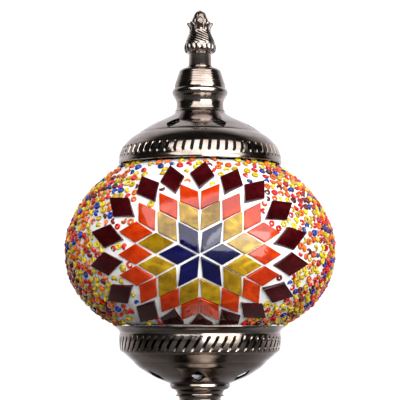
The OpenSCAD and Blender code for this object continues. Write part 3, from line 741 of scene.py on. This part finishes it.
def finishCadNodes():
    finishes = {
        makePlainSolid("blackFelt", (0.022, 0.022, 0.026), 0.95, 900.0, 0.0003): ["felt_pad"],
        makePlainMetal("pressedSteel", (0.34, 0.34, 0.35), 0.34): ["base_plate"],
        makePlainSolid("castIron", (0.045, 0.045, 0.048), 0.7, 500.0, 0.0002): ["base_weight"],
        makePlainMetal("zincSteel", (0.66, 0.66, 0.68), 0.28): [
            "lamp_pipe", "lower_washer", "lower_nut", "cup_washer", "cup_nut", "cap_washer", "cap_nut",
            "cap_stud"],
        makePlainMetal("springSteel", (0.5, 0.5, 0.52), 0.24): ["cap_spring"],
        makePlainSolid("blackRubber", (0.016, 0.016, 0.016), 0.6, 700.0): [
            "globe_gasket", "cap_gasket", "cord_bush"],
        makePlainSolid("blackPlastic", (0.014, 0.014, 0.015), 0.28, 900.0, 0.00001): [
            "holder_cap", "holder_skirt"],
        makePlainSolid("whiteCeramic", (0.8, 0.79, 0.76), 0.2, 300.0, 0.00001): ["holder_insert"],
        makePlainMetal("brightBrass", (0.8, 0.58, 0.27), 0.2): [
            "holder_thread_shell", "holder_contact", "terminal_screws"],
        makePlainMetal("nickelPlate", (0.72, 0.7, 0.66), 0.2): ["bulb_screw_cap", "bulb_contact"],
        makePlainSolid("blackVitrite", (0.012, 0.012, 0.02), 0.12, 500.0, 0.00001): ["bulb_insulator"],
        makePlainSolid("filamentPhosphor", (0.86, 0.56, 0.12), 0.5, 1400.0): ["bulb_filaments"],
        makeClearGlass("clearGlass", (0.97, 0.98, 0.97)): ["bulb_glass", "bulb_mount", "globe_glass"],
    }
    for material, nodes in finishes.items():
        for name in nodes:
            paint(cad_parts[name], material)


print("stage: finishes")
finishCadNodes()


# the globe: grout, tiles and beads

globeRadius = measure("bead_field")[2]
groutLow, groutHigh = measure("grout_skin")[:2]
globe = {"riseAbove": 65.5, "dropBelow": 56.5, "upperPower": 1.9, "lowerPower": 2.2, "beadLayer": 2.8,
         "groutOverBed": 0.75, "starGrout": 0.65, "groutRipple": 0.35}
widestRing = 220.8


def globeOutline(up, inset):
    # radius of the globe at a height above its widest ring, pulled in by inset
    b = (globe["riseAbove"] if up > 0 else globe["dropBelow"]) - inset
    power = globe["upperPower"] if up > 0 else globe["lowerPower"]
    return (globeRadius - inset) * max(0.0, 1 - (abs(up) / b) ** power) ** (1 / power)


def onGlobe(points, inset):
    # moves points along their rays from the globe's centre onto the pulled-in surface
    up = points[:, 2] - widestRing
    flat = np.hypot(points[:, 0], points[:, 1])
    b = np.where(up > 0, globe["riseAbove"], globe["dropBelow"]) - inset
    power = np.where(up > 0, globe["upperPower"], globe["lowerPower"])
    a = globeRadius - inset
    scale = ((flat / a) ** power + (np.abs(up) / b) ** power) ** (-1 / power)
    return np.column_stack([points[:, 0] * scale, points[:, 1] * scale, widestRing + up * scale])


def globeNormals(points, inset):
    up = points[:, 2] - widestRing
    flat = np.maximum(np.hypot(points[:, 0], points[:, 1]), 1e-6)
    b = np.where(up > 0, globe["riseAbove"], globe["dropBelow"]) - inset
    power = np.where(up > 0, globe["upperPower"], globe["lowerPower"])
    a = globeRadius - inset
    side = flat ** (power - 2) / a ** power
    rise = np.sign(up) * np.abs(up) ** (power - 1) / b ** power
    normals = np.column_stack([points[:, 0] * side, points[:, 1] * side, rise])
    return normals / np.linalg.norm(normals, axis=1)[:, None]


tileGlass = {"bevel": 0.00042, "wobble": 0.00045}
tileSlots = {
    "navy_tiles": ("navy_glass", makeTileGlass("navyGlass", (0.001, 0.001, 0.014), (0.002, 0.002, 0.045),
                                               (0.008, 0.008, 0.11))),
    "amber_tiles": ("amber_glass", makeTileGlass("amberGlass", (0.10, 0.045, 0.001), (0.30, 0.16, 0.004),
                                               (0.66, 0.44, 0.012))),
    "orange_tiles": ("orange_glass", makeTileGlass("orangeGlass", (0.26, 0.010, 0.001), (0.46, 0.028, 0.002),
                                               (0.64, 0.062, 0.004))),
    "ruby_tiles": ("ruby_glass", makeTileGlass("rubyGlass", (0.014, 0.0004, 0.001), (0.038, 0.001, 0.002),
                                               (0.08, 0.004, 0.006))),
}
tilePlanes = []  # for every tile, the planes of its faces, in mm


def buildTiles(side, kind, seed):
    # cuts each flat blank into a piece of glass: uneven corners, then ground edges
    slot, material = tileSlots[kind]
    nodeName = side + "_" + kind
    obj = copyOf(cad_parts[nodeName], Matrix())
    obj.parent = None
    obj.name = side.title() + kind.split("_")[0].title() + "Glass"
    obj.data.name = obj.name
    editAll(obj)
    bpy.ops.mesh.remove_doubles(threshold=0.00002)
    bpy.ops.mesh.dissolve_limited(angle_limit=math.radians(1))
    bpy.ops.transform.vertex_random(offset=tileGlass["wobble"], uniform=0.6, normal=0.0, seed=seed)
    bpy.ops.object.mode_set(mode="OBJECT")

    tone = obj.data.attributes.new("tone", "FLOAT", "POINT")
    mesh = bmesh.new()
    mesh.from_mesh(obj.data)
    picker = random.Random(seed)
    seen = set()
    for first in mesh.verts:
        if first in seen:
            continue
        island, wave = {first}, [first]
        while wave:
            for edge in wave.pop().link_edges:
                for vert in edge.verts:
                    if vert not in island:
                        island.add(vert)
                        wave.append(vert)
        seen |= island
        shade = picker.random()
        for vert in island:
            tone.data[vert.index].value = shade
        middle = sum((vert.co for vert in island), Vector()) / len(island)
        faces = {face for vert in island for face in vert.link_faces}
        planes = []
        for face in faces:
            face.normal_update()
            normal = face.normal if face.normal.dot(face.calc_center_median() - middle) > 0 else -face.normal
            planes.append((*normal, normal.dot(face.calc_center_median()) / mm))
        tilePlanes.append((np.array(middle) / mm, np.array(planes)))
    mesh.free()

    editAll(obj)
    bpy.ops.mesh.bevel(offset=tileGlass["bevel"], segments=3, profile=0.6, affect="EDGES")
    bpy.ops.object.mode_set(mode="OBJECT")
    smooth(obj, 30)
    return finishPiece(obj, material, "globe", slot, nodeName)


def distanceToTiles(points):
    # how far each point is outside the nearest tile, and which way leads off it
    best = np.full(len(points), 1e3)
    away = np.zeros_like(points)
    for middle, planes in tilePlanes:
        near = np.where(np.linalg.norm(points - middle, axis=1) < 18)[0]
        if not len(near):
            continue
        gaps = points[near] @ planes[:, :3].T - planes[:, 3]
        side = gaps.argmax(axis=1)
        value = gaps[np.arange(len(near)), side]
        closer = value < best[near]
        best[near[closer]] = value[closer]
        away[near[closer]] = planes[side[closer], :3]
    return best, away


def buildGrout():
    steps = 66
    low, high = groutLow - widestRing, groutHigh - widestRing
    inset = globe["beadLayer"] - globe["groutOverBed"]
    heights = [low + (high - low) * (0.5 - 0.5 * math.cos(math.pi * k / steps)) for k in range(steps + 1)]
    obj = turned("whiteGroutBed", [(globeOutline(up, inset), widestRing + up) for up in heights], 300)
    outwards(obj)
    points = np.array([vert.co for vert in obj.data.vertices]) / mm
    gap, _ = distanceToTiles(points)
    normals = globeNormals(points, inset)
    nearStar = np.clip((5.0 - gap) / 4.0, 0, 1)
    rng = np.random.default_rng(4)
    waves = rng.normal(size=(24, 3)) * 0.55
    phases = rng.uniform(0, math.tau, 24)
    ripple = np.sin(points @ waves.T + phases).mean(axis=1) * globe["groutRipple"] * 2.0
    raised = nearStar * globe["starGrout"] + ripple * (0.35 + 0.65 * (1 - nearStar))
    for vert, point, normal, lift in zip(obj.data.vertices, points, normals, raised):
        vert.co = (point + normal * lift) * mm
    applyModifier(obj, "SOLIDIFY", thickness=1.6 * mm, offset=-1)
    smooth(obj, 60)
    return finishPiece(obj, groutWhite, "globe", "grout", "grout_skin")


beads = {"count": 1400, "outer": 2.15, "tube": 0.76, "length": 1.6, "spacing": 4.6, "offTile": 2.15,
         "passes": 60, "seed": 12, "sizeSpread": 0.09}
beadColors = {
    "amber": (0.38, (0.16, 0.075, 0.001), (1.0, 0.72, 0.0)),
    "orange": (0.24, (0.24, 0.018, 0.001), (1.0, 0.20, 0.002)),
    "red": (0.20, (0.12, 0.001, 0.001), (0.88, 0.012, 0.004)),
    "ruby": (0.10, (0.02, 0.0005, 0.001), (0.20, 0.003, 0.005)),
    "blue": (0.08, (0.001, 0.002, 0.03), (0.003, 0.055, 0.52)),
}


def scatterBeads():
    # spreads points over the globe, then lets them push each other apart and off the tiles
    rng = np.random.default_rng(beads["seed"])
    low, high = groutLow + 1.0 - widestRing, groutHigh - 0.6 - widestRing
    ups = rng.uniform(low, high, beads["count"] * 3)
    radii = np.array([globeOutline(up, globe["beadLayer"]) for up in ups])
    keep = rng.uniform(0, globeRadius, len(ups)) < radii + 12
    ups, radii = ups[keep], radii[keep]
    turns = rng.uniform(0, math.tau, len(ups))
    points = np.column_stack([radii * np.cos(turns), radii * np.sin(turns), widestRing + ups])
    gap, _ = distanceToTiles(points)
    points = points[gap > beads["offTile"] * 0.6][:beads["count"]]
    reach = beads["spacing"] * 1.12
    for step in range(beads["passes"]):
        apart = points[:, None, :] - points[None, :, :]
        distance = np.sqrt((apart ** 2).sum(axis=2))
        np.fill_diagonal(distance, 1e3)
        push = np.clip(reach - distance, 0, None) / distance
        points = points + 0.42 * (apart * push[:, :, None]).sum(axis=1)
        gap, away = distanceToTiles(points)
        points = points + away * np.clip(beads["offTile"] - gap, 0, None)[:, None]
        points = onGlobe(points, globe["beadLayer"] - 1.2)
        points[:, 2] = np.clip(points[:, 2], widestRing + low, widestRing + high)
        points = onGlobe(points, globe["beadLayer"] - 1.2)
    gap, _ = distanceToTiles(points)
    points = points[gap > beads["offTile"] - 0.35]
    kept = []
    for point in points:  # the last few that still sit in another are left out
        if all(np.linalg.norm(point - other) > beads["spacing"] * 0.83 for other in kept):
            kept.append(point)
    return np.array(kept)


def buildBeads():
    deselectAll()
    bpy.ops.mesh.primitive_torus_add(major_segments=11, minor_segments=6,
                                     major_radius=(beads["outer"] - beads["tube"]) * mm,
                                     minor_radius=beads["tube"] * mm)
    seed = rename("beadBlank")
    editAll(seed)
    bpy.ops.transform.resize(value=(1, 1, beads["length"]), center_override=(0, 0, 0))
    bpy.ops.object.mode_set(mode="OBJECT")
    smooth(seed, 180)
    points = scatterBeads()
    print("beads:", len(points))
    normals = globeNormals(points, globe["beadLayer"] - 1.2)
    picker = random.Random(beads["seed"])
    lots = {name: [] for name in beadColors}
    names, shares = list(beadColors), [beadColors[name][0] for name in beadColors]
    for point, normal in zip(points, normals):
        lean = math.radians(min(90, abs(picker.gauss(0, 48))))
        spin = picker.uniform(0, math.tau)
        upright = Vector(normal).to_track_quat("Z", "Y").to_matrix().to_4x4()
        tilt = Matrix.Rotation(spin, 4, "Z") @ Matrix.Rotation(lean, 4, "X")
        size = 1 + picker.uniform(-1, 1) * beads["sizeSpread"]
        halfHeight = (beads["tube"] * beads["length"] * abs(math.cos(lean))
                      + beads["outer"] * abs(math.sin(lean)) * 0.9)
        lift = min(0.0, 1.6 - halfHeight * size)
        place = (Matrix.Translation(Vector(point + normal * lift) * mm) @ upright @ tilt
                 @ Matrix.Diagonal((size, size, size * picker.uniform(0.85, 1.12), 1)))
        color = picker.choices(names, shares)[0]
        bead = copyOf(seed, place)
        # the tone attribute holds a random shade times a painted shade that darkens each bead towards the
        # grout and lightens its top
        tone = bead.data.attributes.new("tone", "FLOAT", "POINT")
        shade = picker.uniform(0.35, 1.0)
        spots = np.array([vert.co for vert in bead.data.vertices]) / mm
        crest = (spots - point) @ normal  # painted shade where it meets the grout, painted highlight on top
        rise = np.clip((crest - lift + 0.2) / (halfHeight * size * 0.9), 0, 1)
        tone.data.foreach_set("value", shade * rise ** 1.3)
        lots[color].append(bead)
    bpy.data.objects.remove(seed)
    for number, (name, lot) in enumerate(lots.items()):
        obj = joined(lot, name + "Beads")
        material = makeBeadGlass(name + "BeadGlass", *beadColors[name][1:])
        finishPiece(obj, material, "globe", "bead_glass", *(("bead_field",) if number == 0 else ()))


print("stage: tiles")
for seed, side in ((5, "front"), (9, "back")):
    for number, kind in enumerate(tileSlots):
        buildTiles(side, kind, seed * 10 + number)
print("stage: grout")
buildGrout()
print("stage: beads")
buildBeads()


# camera, light and floor

view = {"distance": 1.0, "height": 0.175, "aim": 0.2514, "lens": 148.0}
# painted light on the floor: the first row is a painted glow that rises towards the back, the second a
# painted shade that darkens the floor towards the front
floorPaintedLight = {"paintedGlow": (0.0, 1.0, 0.3, 1.4), "tint": (0.05, 0.8, -0.05, 0.6)}  # low, high, from y, to y
roomLight = (0.02, 1.1, 0.3, 0.62)
softboxes = {
    "softboxHigh": {"azimuth": 12, "elevation": 38, "size": (3.4, 1.8), "power": 70},
    "softboxLow": {"azimuth": 30, "elevation": 4, "size": (1.6, 0.7), "power": 22},
}
softboxDistance = 1.6
softboxAim = (0, 0, 0.22)


def makeStage():
    deselectAll()
    bpy.ops.object.camera_add(location=(0, -view["distance"], view["height"]))
    camera = bpy.context.object
    towards = Vector((0, 0, view["aim"])) - camera.location
    camera.rotation_euler = towards.to_track_quat("-Z", "Y").to_euler()
    camera.data.lens = view["lens"]
    camera.data.sensor_width = 36
    bpy.context.scene.camera = camera

    bpy.ops.mesh.primitive_plane_add(size=8, location=(0, 0, 0))
    floor = rename("paleFloor")
    material, tree, shader = newMaterial("paleFloor")
    coords = node(tree, "ShaderNodeTexCoord")
    split = node(tree, "ShaderNodeSeparateXYZ")
    tree.links.new(coords.outputs["Object"], split.inputs[0])
    paintedGlowFar = spread(tree, split.outputs["Y"], *floorPaintedLight["paintedGlow"])  # painted glow: the floor gives off light of its own further back, running out into the white backdrop
    # painted shade: the floor's colour goes from dark in front to pale behind
    near = spread(tree, split.outputs["Y"], *floorPaintedLight["tint"])
    tree.links.new(near, shader.inputs["Base Color"])
    tree.links.new(paintedGlowFar, shader.inputs["Emission Strength"])
    shader.inputs["Emission Color"].default_value = (1, 1, 1, 1)
    shader.inputs["Roughness"].default_value = 0.8
    paint(floor, material)


def addSoftbox(name, azimuth, elevation, size, power):
    a, e = math.radians(azimuth), math.radians(elevation)
    away = Vector((math.sin(a) * math.cos(e), -math.cos(a) * math.cos(e), math.sin(e)))
    where = Vector(softboxAim) + softboxDistance * away
    bpy.ops.object.light_add(type="AREA", location=where)
    light = bpy.context.object
    light.name = name
    light.data.shape = "RECTANGLE"
    light.data.size, light.data.size_y = size
    light.data.energy = power
    light.rotation_euler = (Vector(softboxAim) - where).to_track_quat("-Z", "Y").to_euler()


def makeWorld():
    # white all round, with a darker side where the room behind the camera is
    world = bpy.data.worlds.new("studio")
    bpy.context.scene.world = world
    world.use_nodes = True
    tree = world.node_tree
    tree.nodes.clear()
    out = tree.nodes.new("ShaderNodeOutputWorld")
    back = tree.nodes.new("ShaderNodeBackground")
    coords = tree.nodes.new("ShaderNodeTexCoord")
    split = tree.nodes.new("ShaderNodeSeparateXYZ")
    tree.links.new(coords.outputs["Generated"], split.inputs[0])
    bright = spread(tree, split.outputs["Y"], *roomLight)
    tree.links.new(bright, back.inputs["Color"])
    tree.links.new(back.outputs[0], out.inputs[0])


print("stage: studio")
makeWorld()
makeStage()
for name, settings in softboxes.items():
    addSoftbox(name, **settings)
bpy.context.scene.view_settings.view_transform = "Standard"
